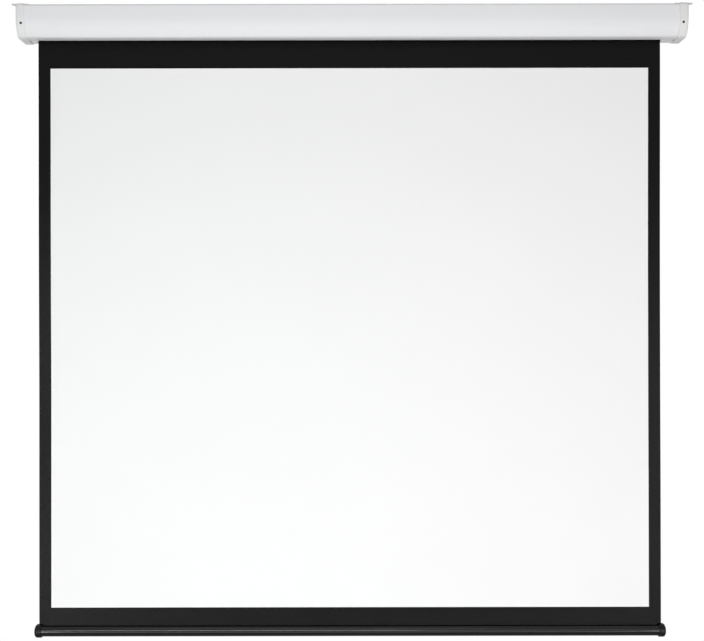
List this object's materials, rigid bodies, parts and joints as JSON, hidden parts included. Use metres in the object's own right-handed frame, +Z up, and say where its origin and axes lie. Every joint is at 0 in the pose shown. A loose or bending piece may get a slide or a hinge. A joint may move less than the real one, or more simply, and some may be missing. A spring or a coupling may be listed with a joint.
{
  "type": "motorized projector screen",
  "caption": "Roll-down projection screen with a white extruded case, tubular motor roller, matt white sheet with black surround and round black bottom bar.",
  "frame": {"origin": "middle of the case's flat back, at the height of the roller's axis, on the wall plane", "axes": "+X along the case towards the motor, +Y into the wall behind, +Z up; the viewer is at -Y"},
  "size_m": [1.948, 0.0905, 1.8228],
  "materials": {
    "white_paint": "satin powder coat on extruded aluminium",
    "white_plastic": "moulded plastic, fine grain",
    "white_steel": "painted steel plate",
    "zinc_steel": "zinc plated",
    "bright_steel": "bright",
    "black_steel": "black oxide",
    "aluminium": "mill finish",
    "black_metal": "black satin coat on extruded aluminium",
    "black_plastic": "moulded plastic",
    "grey_plastic": "glass filled nylon",
    "natural_plastic": "natural acetal",
    "yellow_plastic": "moulded plastic",
    "screen_cloth": "matt white PVC coated cloth with a printed black surround and a black back",
    "black_cloth": "black back of the screen cloth"
  },
  "bodies": {
    "housing": {"housing_shell": "white_paint", "end_cap_left": "white_plastic", "end_cap_right": "white_plastic", "hanger_plate_left": "white_steel", "hanger_plate_right": "white_steel", "cap_screw_left": "black_steel", "cap_screw_right": "black_steel", "idler_bracket": "zinc_steel", "motor_bracket": "zinc_steel", "idler_bush": "natural_plastic", "motor_body": "black_steel", "motor_head": "black_plastic", "motor_mount_pin": "zinc_steel", "motor_split_pin": "bright_steel", "screen_sheet": "screen_cloth", "cable_gland": "black_plastic", "gland_nut": "black_plastic", "receiver_box": "black_plastic", "hanger_screw_left_front": "zinc_steel", "hanger_screw_left_back": "zinc_steel", "bracket_screw_left_top_front": "zinc_steel", "bracket_screw_left_top_back": "zinc_steel", "bracket_screw_left_low_front": "zinc_steel", "hanger_screw_right_front": "zinc_steel", "hanger_screw_right_back": "zinc_steel", "bracket_screw_right_top_front": "zinc_steel", "bracket_screw_right_top_back": "zinc_steel", "bracket_screw_right_low_front": "zinc_steel"},
    "roller": {"roller_tube": "aluminium", "sheet_key_strip": "natural_plastic", "wound_turns": "black_cloth", "crown_ring": "grey_plastic", "drive_wheel": "grey_plastic", "drive_shaft": "bright_steel", "idler_plug": "grey_plastic", "idler_pin": "bright_steel"},
    "bottom_bar": {"bottom_bar_tube": "black_metal", "bar_cap_left": "black_plastic", "bar_cap_right": "black_plastic", "hem_rod": "bright_steel", "hem_loop": "black_cloth"},
    "limit_up": {"limit_screw_up": "yellow_plastic"},
    "limit_down": {"limit_screw_down": "white_plastic"}
  },
  "joints": [
    {"name": "bar_lift", "type": "slide", "parent": "housing", "child": "bottom_bar", "axis": [0, 0, 1], "range_m": [0, 1.6843], "deforming": ["screen_sheet"]},
    {"name": "roller_spin", "type": "hinge", "parent": "housing", "child": "roller", "pos_m": [0, -0.05493, 0], "axis": [1, 0, 0], "range_deg": [0, 4215]},
    {"name": "limit_up_turn", "type": "hinge", "parent": "housing", "child": "limit_up", "pos_m": [0.9114, -0.05493, -0.016], "axis": [0, 0, 1], "continuous": true},
    {"name": "limit_down_turn", "type": "hinge", "parent": "housing", "child": "limit_down", "pos_m": [0.9214, -0.05493, -0.016], "axis": [0, 0, 1], "continuous": true}
  ],
  "couplings": [
    {"joint": "roller_spin", "follows": "bar_lift", "rad_per_m": 43.6}
  ]
}
